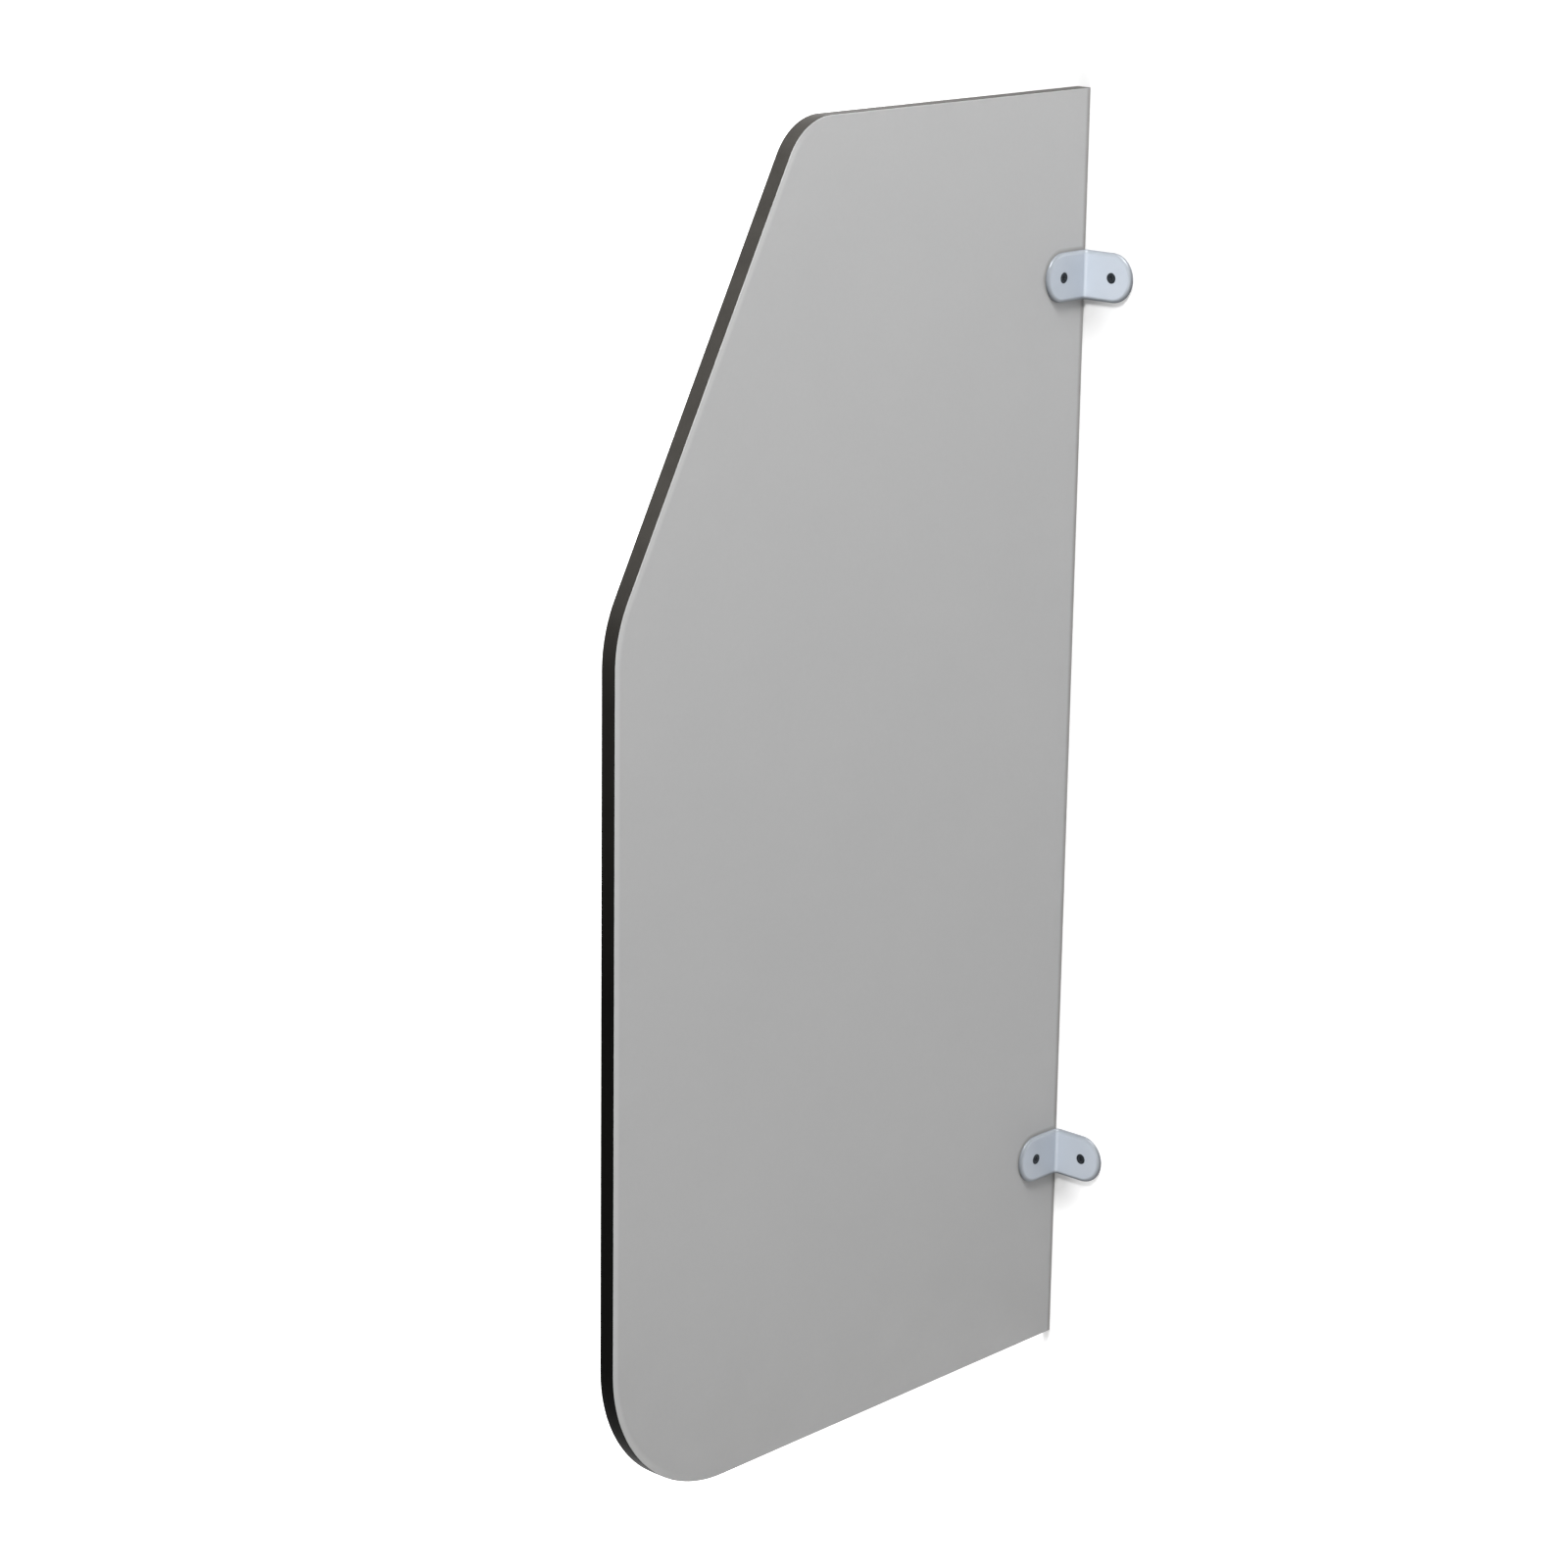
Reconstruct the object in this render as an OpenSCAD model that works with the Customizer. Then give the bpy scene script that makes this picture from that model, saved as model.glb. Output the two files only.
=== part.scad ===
// Privacy screen: a flat laminated board that stands out from a wall on two angle brackets.
// The wall is the plane Y = 0 and the board reaches out along -Y, with both brackets on its +X face.
// The origin lies on the board's rear edge: midway between its faces, and between its brackets' heights.

/* [Board] */
// How far the board reaches out from the wall at its widest
board_projection = 450; // [380:5:600]
// Height of the board along the wall
board_height = 900; // [800:10:1200]
// Thickness of the whole board, both face sheets included
board_thickness = 12; // [11:0.5:20]
// Length of the level top edge, out to where the slope would meet it
top_edge_length = 285; // [200:5:340]
// Height above the bottom edge at which the slope would meet the upright front edge
knee_height = 594; // [450:2:680]
// Radius of the top front corner
top_corner_radius = 43; // [15:1:70]
// Radius of the knee between the slope and the upright front edge
knee_radius = 92; // [20:1:150]
// Radius of the bottom front corner
bottom_corner_radius = 103; // [20:1:150]
// Thickness of each face sheet
face_sheet_thickness = 0.8; // [0.6:0.1:1.2]
// Width of the chamfer milled round the outer face of each face sheet
face_sheet_arris = 0.5; // [0.2:0.1:0.5]

/* [Brackets] */
// Drop from the top edge of the board to the middle of the upper bracket
upper_bracket_drop = 126; // [80:1:200]
// Rise from the bottom edge of the board to the middle of the lower bracket
lower_bracket_rise = 140; // [80:1:200]
// Length of each leaf, from the mating faces' corner to its round end
leaf_length = 42; // [38:1:60]
// Width of the leaves, measured up the wall
leaf_width = 34; // [24:1:40]
// Thickness of the bracket plate
leaf_thickness = 2.5; // [2.2:0.1:4]
// Radius inside the bend
bend_radius = 2; // [1:0.5:4]
// Width of the chamfer round the front of the leaves
leaf_arris = 1.8; // [0.3:0.1:2]
// Distance from the mating faces' corner to each screw hole
hole_distance = 25; // [20:0.5:30]

/* [Screws] */
// Diameter of the countersunk screw heads
head_diameter = 7.5; // [7:0.1:9]
// Depth of the straight rim above the cone of a screw head
head_rim = 0.3; // [0.1:0.1:0.4]
// Diameter of the two screws in the board
board_screw_diameter = 4; // [3.5:0.5:4.5]
// Length of the two screws in the board, head included
board_screw_length = 10; // [8:0.5:10.5]
// Diameter of the two screws in the wall
wall_screw_diameter = 4.5; // [4:0.5:5]
// Length of the two screws in the wall, head included
wall_screw_length = 45; // [40:1:60]
// Length of the point of a wall screw
wall_screw_point = 5; // [3:0.5:8]
// Play of a screw in its bracket hole, on the diameter
hole_play = 0.5; // [0.2:0.1:1]
// Span of the cross recess in a screw head
recess_span = 4.4; // [3.6:0.1:5]
// Width of the slots of the cross recess
recess_slot = 1; // [0.8:0.1:1.3]
// Depth of the cross recess
recess_depth = 1.5; // [1:0.1:1.8]

/* [Inserts and plugs] */
// Outer diameter of the threaded inserts in the board
insert_diameter = 6.4; // [6:0.1:8]
// Length of the threaded inserts
insert_length = 8; // [7:0.5:9]
// Free depth left behind each insert
insert_relief = 0.5; // [0.2:0.1:1]
// Outer diameter of the wall plugs
plug_diameter = 8; // [7.5:0.5:10]
// Length of the wall plugs
plug_length = 40; // [35:1:50]
// Plain length at the mouth of each plug
plug_neck = 9; // [6:1:12]
// Height of the teeth along each plug
plug_tooth = 0.5; // [0.2:0.1:0.7]
// Distance from one tooth to the next
plug_tooth_pitch = 5; // [4:0.5:8]
// Width of the slots that let the plug spread
plug_slot = 1.2; // [0.8:0.1:1.6]

/* [Hidden] */
$fn = 96;
// Overshoot of a cutting shape past the surface that it opens
cut = 1;
// Width of the end face that a screw point tapers to
point_flat = 0.6;
// Chamfer on the end of a board screw
screw_end_chamfer = 0.5;
// Lead-in chamfer at the inner end of a wall plug
plug_lead = 1;
// Number of grooves round an insert
insert_grooves = 2;
// Depth and width of the grooves round an insert
insert_groove_depth = 0.4;
insert_groove_width = 0.9;
// Share of the tooth pitch that the slope of each plug tooth takes
plug_tooth_slope = 0.8;
// Span of the floor of the cross recess, which narrows with depth
recess_floor_span = recess_span / 2;

core_thickness = board_thickness - 2 * face_sheet_thickness;
// X of the board's near face, where the mating faces of the brackets' leaves meet
near_face_x = board_thickness / 2;
// Brackets above and below the origin, with the board's ends measured from them
bracket_pitch = board_height - upper_bracket_drop - lower_bracket_rise;
upper_z = bracket_pitch / 2;
lower_z = -bracket_pitch / 2;
board_top_z = upper_z + upper_bracket_drop;
board_bottom_z = lower_z - lower_bracket_rise;
bend_outer_radius = bend_radius + leaf_thickness;
round_end_radius = leaf_width / 2;
round_end_centre = leaf_length - round_end_radius;

// Corners of the board's outline as [y, z, radius], going counter-clockwise from the wall's foot
board_corners = [
    [0, board_bottom_z, 0],
    [0, board_top_z, 0],
    [-top_edge_length, board_top_z, top_corner_radius],
    [-board_projection, board_bottom_z + knee_height, knee_radius],
    [-board_projection, board_bottom_z, bottom_corner_radius],
];

// Geometry of an outline whose corners are [x, y, radius]
function corner(list, i) = let (c = list[(i + len(list)) % len(list)]) [c[0], c[1]];
function radius(list, i) = list[(i + len(list)) % len(list)][2];
function unit(v) = v / norm(v);
function toward(list, i, j) = unit(corner(list, j) - corner(list, i));
function half_angle(list, i) = acos(toward(list, i, i - 1) * toward(list, i, i + 1)) / 2;
function setback(list, i) = radius(list, i) / tan(half_angle(list, i));
function arc_start(list, i) = corner(list, i) + setback(list, i) * toward(list, i, i - 1);
function arc_end(list, i) = corner(list, i) + setback(list, i) * toward(list, i, i + 1);
function arc_centre(list, i) = corner(list, i)
    + radius(list, i) / sin(half_angle(list, i)) * unit(toward(list, i, i - 1) + toward(list, i, i + 1));
// Direction of the outward normal of the edge that leaves corner i
function normal_angle(list, i) = let (d = toward(list, i, i + 1)) atan2(-d[0], d[1]);

// Outline with its corners cut straight at the arcs' ends, and a true circle in each of them
module rounded_outline(list) {
    polygon([for (i = [0 : len(list) - 1]) each [arc_start(list, i), arc_end(list, i)]]);
    for (i = [0 : len(list) - 1])
        if (radius(list, i) > 0)
            translate(arc_centre(list, i)) circle(r = radius(list, i));
}

// Section of the material that a chamfer takes off, with the sharp edge at the origin
module chamfer_section(width) {
    polygon([[-width - cut, cut], [cut, cut], [cut, -width - cut]]);
}

// Turns a shape drawn flat into the board's plane: x to Y, y to Z and z to X
module into_board_plane() {
    rotate([90, 0, 90]) children();
}

// Frames of the two leaves of a bracket at height z: x runs out along the leaf, and z is 0 on
// its mating face and grows towards its front
module on_wall_leaf(z) {
    translate([near_face_x, 0, z]) rotate([90, 0, 0]) children();
}
module on_board_leaf(z) {
    translate([near_face_x, 0, z]) into_board_plane() rotate([0, 0, 180]) children();
}

module core_board() {
    color([0.13, 0.115, 0.10])
    difference() {
        translate([near_face_x - face_sheet_thickness - core_thickness, 0, 0])
            into_board_plane() linear_extrude(core_thickness) rounded_outline(board_corners);
        for (z = [upper_z, lower_z])
            on_board_leaf(z) translate([hole_distance, 0, -insert_length - insert_relief])
                cylinder(d = insert_diameter, h = insert_length + insert_relief + cut);
    }
}

// A plate with its outer face on Z = 0 and a chamfer round it: a straight-edged blank that is
// notched to the centre of each arc, and a chamfered disc that fills each notch
module chamfered_plate(list, thickness, width) {
    difference() {
        translate([0, 0, -thickness]) linear_extrude(thickness)
            polygon([for (i = [0 : len(list) - 1])
                each radius(list, i) > 0
                    ? [arc_start(list, i), arc_centre(list, i), arc_end(list, i)]
                    : [corner(list, i)]]);
        for (i = [0 : len(list) - 1]) {
            overrun = cut * toward(list, i, i + 1);
            from = arc_end(list, i) - overrun;
            to = arc_start(list, i + 1) + overrun;
            translate(to) rotate([0, 0, normal_angle(list, i)]) rotate([90, 0, 0])
                linear_extrude(norm(to - from)) chamfer_section(width);
        }
    }
    for (i = [0 : len(list) - 1])
        if (radius(list, i) > 0)
            translate(arc_centre(list, i)) rotate_extrude()
                polygon([[0, 0], [radius(list, i) - width, 0], [radius(list, i), -width],
                    [radius(list, i), -thickness], [0, -thickness]]);
}

module face_sheet() {
    chamfered_plate(board_corners, face_sheet_thickness, face_sheet_arris);
}

module near_face_sheet() {
    color([0.72, 0.72, 0.73])
    difference() {
        translate([near_face_x, 0, 0]) into_board_plane() face_sheet();
        for (z = [upper_z, lower_z])
            on_board_leaf(z) translate([hole_distance, 0, -face_sheet_thickness - cut])
                cylinder(d = insert_diameter, h = face_sheet_thickness + 2 * cut);
    }
}

module far_face_sheet() {
    color([0.72, 0.72, 0.73])
    translate([near_face_x - board_thickness, 0, 0]) mirror([1, 0, 0]) into_board_plane() face_sheet();
}

// One leaf, from the bend to its round end, with a countersunk hole for a screw
module leaf(screw_diameter) {
    hole_diameter = screw_diameter + hole_play;
    cone_depth = (head_diameter - hole_diameter) / 2;
    difference() {
        linear_extrude(leaf_thickness) {
            translate([bend_outer_radius, -leaf_width / 2])
                square([round_end_centre - bend_outer_radius, leaf_width]);
            translate([round_end_centre, 0]) circle(d = leaf_width);
        }
        for (side = [1, -1]) {
            start = side > 0 ? bend_outer_radius : round_end_centre;
            translate([start, side * leaf_width / 2, leaf_thickness])
                rotate([0, 0, side * 90]) rotate([90, 0, 0])
                    linear_extrude(round_end_centre - bend_outer_radius) chamfer_section(leaf_arris);
        }
        translate([round_end_centre, 0, leaf_thickness]) rotate([0, 0, -90])
            rotate_extrude(angle = 180) translate([round_end_radius, 0]) chamfer_section(leaf_arris);
        translate([hole_distance, 0, -cut]) cylinder(d = hole_diameter, h = leaf_thickness + 2 * cut);
        translate([hole_distance, 0, leaf_thickness - head_rim])
            cylinder(d = head_diameter, h = head_rim + cut);
        translate([hole_distance, 0, leaf_thickness - head_rim - cone_depth])
            cylinder(d1 = hole_diameter, d2 = head_diameter, h = cone_depth);
    }
}

// Quarter turn of plate that joins the two leaves, chamfered on its hollow side
module bend() {
    translate([near_face_x + bend_outer_radius, -bend_outer_radius, 0]) rotate([0, 0, 90])
        rotate_extrude(angle = 90) polygon([
            [bend_outer_radius, -leaf_width / 2],
            [bend_outer_radius, leaf_width / 2],
            [bend_radius + leaf_arris, leaf_width / 2],
            [bend_radius, leaf_width / 2 - leaf_arris],
            [bend_radius, -leaf_width / 2 + leaf_arris],
            [bend_radius + leaf_arris, -leaf_width / 2],
        ]);
}

module bracket(z) {
    color([0.72, 0.76, 0.80]) {
        on_wall_leaf(z) leaf(wall_screw_diameter);
        on_board_leaf(z) leaf(board_screw_diameter);
        translate([0, 0, z]) bend();
    }
}

module upper_bracket() { bracket(upper_z); }
module lower_bracket() { bracket(lower_z); }

// Cross recess in a screw head whose top is on Z = 0
module cross_recess() {
    for (turn = [0, 90])
        rotate([90, 0, turn]) linear_extrude(recess_slot, center = true) polygon([
            [-recess_span / 2, cut], [recess_span / 2, cut], [recess_span / 2, 0],
            [recess_floor_span / 2, -recess_depth], [-recess_floor_span / 2, -recess_depth],
            [-recess_span / 2, 0],
        ]);
}

// Countersunk screw with its head's top on Z = 0, tapering over its last stretch to a flat end
module countersunk_screw(diameter, length, taper, end_diameter) {
    cone_depth = (head_diameter - diameter) / 2;
    color([0.20, 0.22, 0.25])
    difference() {
        rotate_extrude() polygon([
            [0, 0],
            [head_diameter / 2, 0],
            [head_diameter / 2, -head_rim],
            [diameter / 2, -head_rim - cone_depth],
            [diameter / 2, -length + taper],
            [end_diameter / 2, -length],
            [0, -length],
        ]);
        cross_recess();
    }
}

module board_screw(z) {
    on_board_leaf(z) translate([hole_distance, 0, leaf_thickness])
        countersunk_screw(board_screw_diameter, board_screw_length, screw_end_chamfer,
            board_screw_diameter - 2 * screw_end_chamfer);
}

module wall_screw(z) {
    on_wall_leaf(z) translate([hole_distance, 0, leaf_thickness])
        countersunk_screw(wall_screw_diameter, wall_screw_length, wall_screw_point, point_flat);
}

module upper_board_screw() { board_screw(upper_z); }
module lower_board_screw() { board_screw(lower_z); }
module upper_wall_screw() { wall_screw(upper_z); }
module lower_wall_screw() { wall_screw(lower_z); }

// Threaded insert flush with the board's near face, with grooves that key it into the core
module board_insert(z) {
    band = (insert_length - insert_grooves * insert_groove_width) / (insert_grooves + 1);
    color([0.78, 0.62, 0.30])
    on_board_leaf(z) translate([hole_distance, 0, -insert_length])
        difference() {
            cylinder(d = insert_diameter, h = insert_length);
            translate([0, 0, -cut]) cylinder(d = board_screw_diameter, h = insert_length + 2 * cut);
            for (i = [0 : insert_grooves - 1])
                translate([0, 0, band + i * (band + insert_groove_width)])
                    rotate_extrude() translate([insert_diameter / 2 - insert_groove_depth, 0])
                        square([insert_groove_depth + cut, insert_groove_width]);
        }
}

module upper_board_insert() { board_insert(upper_z); }
module lower_board_insert() { board_insert(lower_z); }

// Wall plug with its mouth on the wall plane: a plain neck, a toothed body split crosswise, and
// a bore that the wall screw fills
module wall_plug(z) {
    tooth_count = floor((plug_length - plug_neck - plug_lead) / plug_tooth_pitch);
    color([0.62, 0.64, 0.66])
    on_wall_leaf(z) translate([hole_distance, 0, 0]) rotate([180, 0, 0])
        difference() {
            union() {
                cylinder(d = plug_diameter, h = plug_length - plug_lead);
                translate([0, 0, plug_length - plug_lead])
                    cylinder(d1 = plug_diameter, d2 = plug_diameter - 2 * plug_lead, h = plug_lead);
            }
            translate([0, 0, -cut]) cylinder(d = wall_screw_diameter, h = plug_length + 2 * cut);
            for (i = [0 : tooth_count - 1])
                translate([0, 0, plug_neck + i * plug_tooth_pitch])
                    rotate_extrude() polygon([
                        [plug_diameter / 2, 0],
                        [plug_diameter / 2 + cut, 0],
                        [plug_diameter / 2 + cut, plug_tooth_pitch * plug_tooth_slope],
                        [plug_diameter / 2, plug_tooth_pitch * plug_tooth_slope],
                        [plug_diameter / 2 - plug_tooth, 0],
                    ]);
            for (turn = [0, 90])
                rotate([0, 0, turn])
                    translate([-plug_slot / 2, -plug_diameter, plug_neck + plug_tooth_pitch])
                        cube([plug_slot, 2 * plug_diameter, plug_length]);
        }
}

module upper_wall_plug() { wall_plug(upper_z); }
module lower_wall_plug() { wall_plug(lower_z); }

core_board();
near_face_sheet();
far_face_sheet();
upper_bracket();
lower_bracket();
upper_board_screw();
lower_board_screw();
upper_board_insert();
lower_board_insert();
upper_wall_screw();
lower_wall_screw();
upper_wall_plug();
lower_wall_plug();
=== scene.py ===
# %% [markdown]
# # A privacy screen that stands out from a wall
#
# The real object is one flat laminate board, cut to a sloping outline, and two small angle
# brackets that hold it square to the wall. The solids were drawn first and packed as a frame of
# named nodes. This notebook loads that frame, builds a finer piece over each node that shows,
# gives every piece its finish, and sets up the light and the camera.

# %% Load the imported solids
import math
from itertools import zip_longest

import bmesh
import bpy
from mathutils import Matrix, Vector
from mathutils.geometry import tessellate_polygon


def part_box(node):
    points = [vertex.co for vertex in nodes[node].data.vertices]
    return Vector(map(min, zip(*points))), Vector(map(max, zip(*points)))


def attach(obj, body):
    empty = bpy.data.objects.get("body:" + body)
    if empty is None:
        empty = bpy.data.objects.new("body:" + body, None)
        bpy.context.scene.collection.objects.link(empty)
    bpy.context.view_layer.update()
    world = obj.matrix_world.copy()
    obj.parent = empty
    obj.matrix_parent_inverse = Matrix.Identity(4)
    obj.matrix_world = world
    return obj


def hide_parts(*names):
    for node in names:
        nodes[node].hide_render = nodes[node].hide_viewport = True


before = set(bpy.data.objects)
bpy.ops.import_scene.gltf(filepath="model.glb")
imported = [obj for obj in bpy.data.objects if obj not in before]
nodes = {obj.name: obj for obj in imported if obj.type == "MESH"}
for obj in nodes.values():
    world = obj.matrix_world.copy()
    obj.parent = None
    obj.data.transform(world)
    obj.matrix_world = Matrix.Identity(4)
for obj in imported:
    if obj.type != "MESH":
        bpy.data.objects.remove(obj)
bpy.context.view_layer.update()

MM = 0.001

# %% [markdown]
# ## Sizes
#
# Every size is written in millimetres, as a workshop drawing has it, and the frame's own boxes
# give the places. The wall is the plane Y = 0, the board reaches out along -Y, and X = 0 is the
# middle of its thickness.

# %% Sizes of the board
low, high = (Vector(p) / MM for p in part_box("core_board"))
BOARD_TOP, BOARD_BOTTOM, BOARD_FRONT = high.z, low.z, low.y
CORE_HALF = high.x
BOARD_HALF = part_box("near_face_sheet")[1].x / MM
TOP_EDGE = 285.0
KNEE_HEIGHT = 594.0
OUTLINE = [
    (0.0, BOARD_BOTTOM, 0.0),
    (0.0, BOARD_TOP, 0.0),
    (-TOP_EDGE, BOARD_TOP, 43.0),
    (BOARD_FRONT, BOARD_BOTTOM + KNEE_HEIGHT, 92.0),
    (BOARD_FRONT, BOARD_BOTTOM, 103.0),
]
ARRIS = 0.5
board_sizes = (-BOARD_FRONT, BOARD_TOP - BOARD_BOTTOM, 2 * BOARD_HALF)
print("board", " x ".join(f"{size:.1f}" for size in board_sizes), "mm")

# %% Sizes of the brackets and screws
LEAF = 2.5
BEND_INSIDE = 2.0
LEAF_HALF = 17.0
HOLE_OUT = 25.0
HEAD = 7.5
HEAD_RIM = 0.3
BOARD_LEAF_HOLE, WALL_LEAF_HOLE = 2.25, 2.5
HEIGHTS = {end: sum(z for _, _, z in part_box(f"{end}_bracket")) / (2 * MM) for end in ("upper", "lower")}
print("bracket heights", {end: round(z, 2) for end, z in HEIGHTS.items()})

# %% [markdown]
# ## A skin of strips
#
# Most of these pieces are the same few rows of points, joined by strips of quads: the way a
# boat's hull is planked. A small class gathers rows, strips and fills, and then welds them into
# one closed mesh. That keeps each piece's code to its rows, and the faces stay even, so that
# rounded edges shade softly. Boolean cuts would be shorter, but they leave uneven faces that
# catch the light.

# %% The skin class
class Skin:
    """Rows of points in millimetres, with the faces between them.

    Each row may carry a mark from 0 to 1, which a finish can read, to treat a rim unlike a flat.
    """

    def __init__(self, place=lambda p: p):
        self.points, self.marks, self.faces, self.place = [], [], [], place

    def row(self, points, mark=0.0):
        start = len(self.points)
        self.points.extend(Vector(self.place(Vector(p))) for p in points)
        self.marks.extend([mark] * (len(self.points) - start))
        return list(range(start, len(self.points)))

    def strip(self, a, b, closed=True):
        count = len(a)
        for i in range(count if closed else count - 1):
            j = (i + 1) % count
            self.faces.append((a[i], a[j], b[j], b[i]))

    def skin_rows(self, rows, closed=True, marks=()):
        made = [self.row(points, mark) for points, mark in zip_longest(rows, marks, fillvalue=0.0)]
        for a, b in zip(made, made[1:]):
            self.strip(a, b, closed)
        return made

    def cap(self, row, tip):
        point = self.row([tip])[0]
        for i, a in enumerate(row):
            self.faces.append((a, row[(i + 1) % len(row)], point))

    def fill(self, rows, flat):
        """Fills an outline, less the holes in it. flat gives a point's two coordinates in its plane."""
        loops = [[Vector((*flat(self.points[i]), 0.0)) for i in row] for row in rows]
        order = [i for row in rows for i in row]
        self.faces.extend(tuple(order[i] for i in face) for face in tessellate_polygon(loops))


# %% [markdown]
# A finished skin becomes a Blender object here. Edges sharper than the given angle stay crisp,
# and the weighted normals keep each large flat face flat right up to its rounded rim.

# %% Turn a skin into a piece
def make_piece(name, skin, material, slot, *replaced, sharp=50, cut_edge=None):
    """cut_edge is the material of the faces whose points are all marked."""
    mesh = bpy.data.meshes.new(name)
    mesh.from_pydata([p * MM for p in skin.points], [], skin.faces)
    mesh.attributes.new("rim", "FLOAT", "POINT").data.foreach_set("value", skin.marks)
    work = bmesh.new()
    work.from_mesh(mesh)
    bmesh.ops.remove_doubles(work, verts=work.verts, dist=0.002 * MM)
    bmesh.ops.dissolve_degenerate(work, edges=work.edges, dist=0.0005 * MM)
    bmesh.ops.recalc_face_normals(work, faces=work.faces)
    open_edges = sum(not edge.is_manifold for edge in work.edges)
    work.to_mesh(mesh)
    work.free()
    mesh.polygons.foreach_set("use_smooth", [True] * len(mesh.polygons))
    mesh.set_sharp_from_angle(angle=math.radians(sharp))
    mesh.materials.append(material)
    if cut_edge:
        mesh.materials.append(cut_edge)
        marks = mesh.attributes["rim"].data
        for face in mesh.polygons:
            face.material_index = int(all(marks[i].value > 0.5 for i in face.vertices))
    piece = bpy.data.objects.new(name, mesh)
    bpy.context.scene.collection.objects.link(piece)
    weights = piece.modifiers.new("flat faces stay flat", "WEIGHTED_NORMAL")
    weights.keep_sharp = True
    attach(piece, "root")
    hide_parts(*replaced)
    print(name, len(mesh.polygons), "faces,", open_edges, "open edges")


# %% [markdown]
# ## Finishes
#
# A finish is a Principled shader with its colour, roughness and bump driven by noise in the
# piece's own coordinates, so nothing depends on a picture file. Fine grain, slow cloudiness and
# brushed lines come back in every finish, so they share one node group, and each material sets its
# scale and stretch. A second group finds the edges that use has rubbed bare.

# %% Helpers for node trees
def add(tree, kind, values=(), **settings):
    """A node with its settings, and its inputs by name: a socket is linked, anything else is a value."""
    node = tree.nodes.new(kind)
    for key, value in settings.items():
        setattr(node, key, value)
    for key, value in dict(values).items():
        if isinstance(value, bpy.types.NodeSocket):
            tree.links.new(value, node.inputs[key])
        else:
            node.inputs[key].default_value = value
    return node


def math_node(tree, operation, a, b=0.0, clamp=False):
    return add(tree, "ShaderNodeMath", {0: a, 1: b}, operation=operation, use_clamp=clamp).outputs[0]


def total(tree, a, b):
    return math_node(tree, "ADD", a, b)


def product(tree, a, b):
    return math_node(tree, "MULTIPLY", a, b)


def difference(tree, a, b):
    return math_node(tree, "SUBTRACT", a, b)


def largest(tree, first, *others):
    for other in others:
        first = math_node(tree, "MAXIMUM", first, other)
    return first


def remap(tree, value, low_in, high_in, low_out, high_out):
    return add(tree, "ShaderNodeMapRange", {"Value": value, "From Min": low_in, "From Max": high_in,
                                            "To Min": low_out, "To Max": high_out}).outputs[0]


def vary(tree, mask, low, high):
    """A number that goes from low, where the mask is 0, to high, where it is 1."""
    return remap(tree, mask, 0.0, 1.0, low, high)


def new_group(name, inputs, outputs):
    """An empty node group: inputs are {name: default}, outputs a list of names."""
    tree = bpy.data.node_groups.new(name, "ShaderNodeTree")
    for key, value in inputs.items():
        kind = "NodeSocketVector" if isinstance(value, tuple) else "NodeSocketFloat"
        tree.interface.new_socket(key, in_out="INPUT", socket_type=kind).default_value = value
    for key in outputs:
        tree.interface.new_socket(key, in_out="OUTPUT", socket_type="NodeSocketFloat")
    return tree, tree.nodes.new("NodeGroupInput").outputs, tree.nodes.new("NodeGroupOutput").inputs


def use(tree, group, **values):
    """Places a group in a material, with its inputs named in words joined by underscores."""
    node = add(tree, "ShaderNodeGroup", node_tree=group)
    for key, value in values.items():
        socket = node.inputs[key.replace("_", " ")]
        if isinstance(value, bpy.types.NodeSocket):
            tree.links.new(value, socket)
        else:
            socket.default_value = value
    return node.outputs


# %% Group: grain, noise that can be stretched along the piece
GRAIN_INPUTS = {"Per metre": 1000.0, "Stretch": (1.0, 1.0, 1.0), "Detail": 3.0, "Contrast": 1.0}
grain, given, out = new_group("Grain", GRAIN_INPUTS, ["Grain"])
where = add(grain, "ShaderNodeTexCoord").outputs["Object"]
stretched = add(grain, "ShaderNodeVectorMath", {0: where, 1: given["Stretch"]}, operation="MULTIPLY")
noise = add(grain, "ShaderNodeTexNoise", {"Vector": stretched.outputs[0], "Scale": given["Per metre"],
                                          "Detail": given["Detail"], "Roughness": 0.55}).outputs["Fac"]
spread = product(grain, difference(grain, noise, 0.5), given["Contrast"])
grain.links.new(math_node(grain, "ADD", spread, 0.5, clamp=True), out["Grain"])
print("group", grain.name)

# %% [markdown]
# A coating goes first where two faces meet. A Bevel node gives the normal that a surface would have
# if its edges were rounded, so wherever that turns away from the true normal there is an edge, and
# the further it turns, the sharper the edge is.

# %% Group: rubbed edges
RUBBED_INPUTS = {"Radius": 0.0004, "Low": 0.02, "High": 0.25}
rubbed, given, out = new_group("Rubbed edges", RUBBED_INPUTS, ["Rubbed"])
softened = add(rubbed, "ShaderNodeBevel", {"Radius": given["Radius"]}, samples=4).outputs[0]
original = add(rubbed, "ShaderNodeNewGeometry").outputs["Normal"]
agreement = add(rubbed, "ShaderNodeVectorMath", {0: softened, 1: original}, operation="DOT_PRODUCT")
turn = difference(rubbed, 1.0, agreement.outputs["Value"])
bare = remap(rubbed, turn, given["Low"], given["High"], 0.0, 1.0)
rubbed.links.new(bare, out["Rubbed"])
print("group", rubbed.name)

# %% [markdown]
# A material starts from a Principled shader. This helper makes one, sets the values that are the
# same all over on the shader itself, and hands back the tree for the varying ones.

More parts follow.
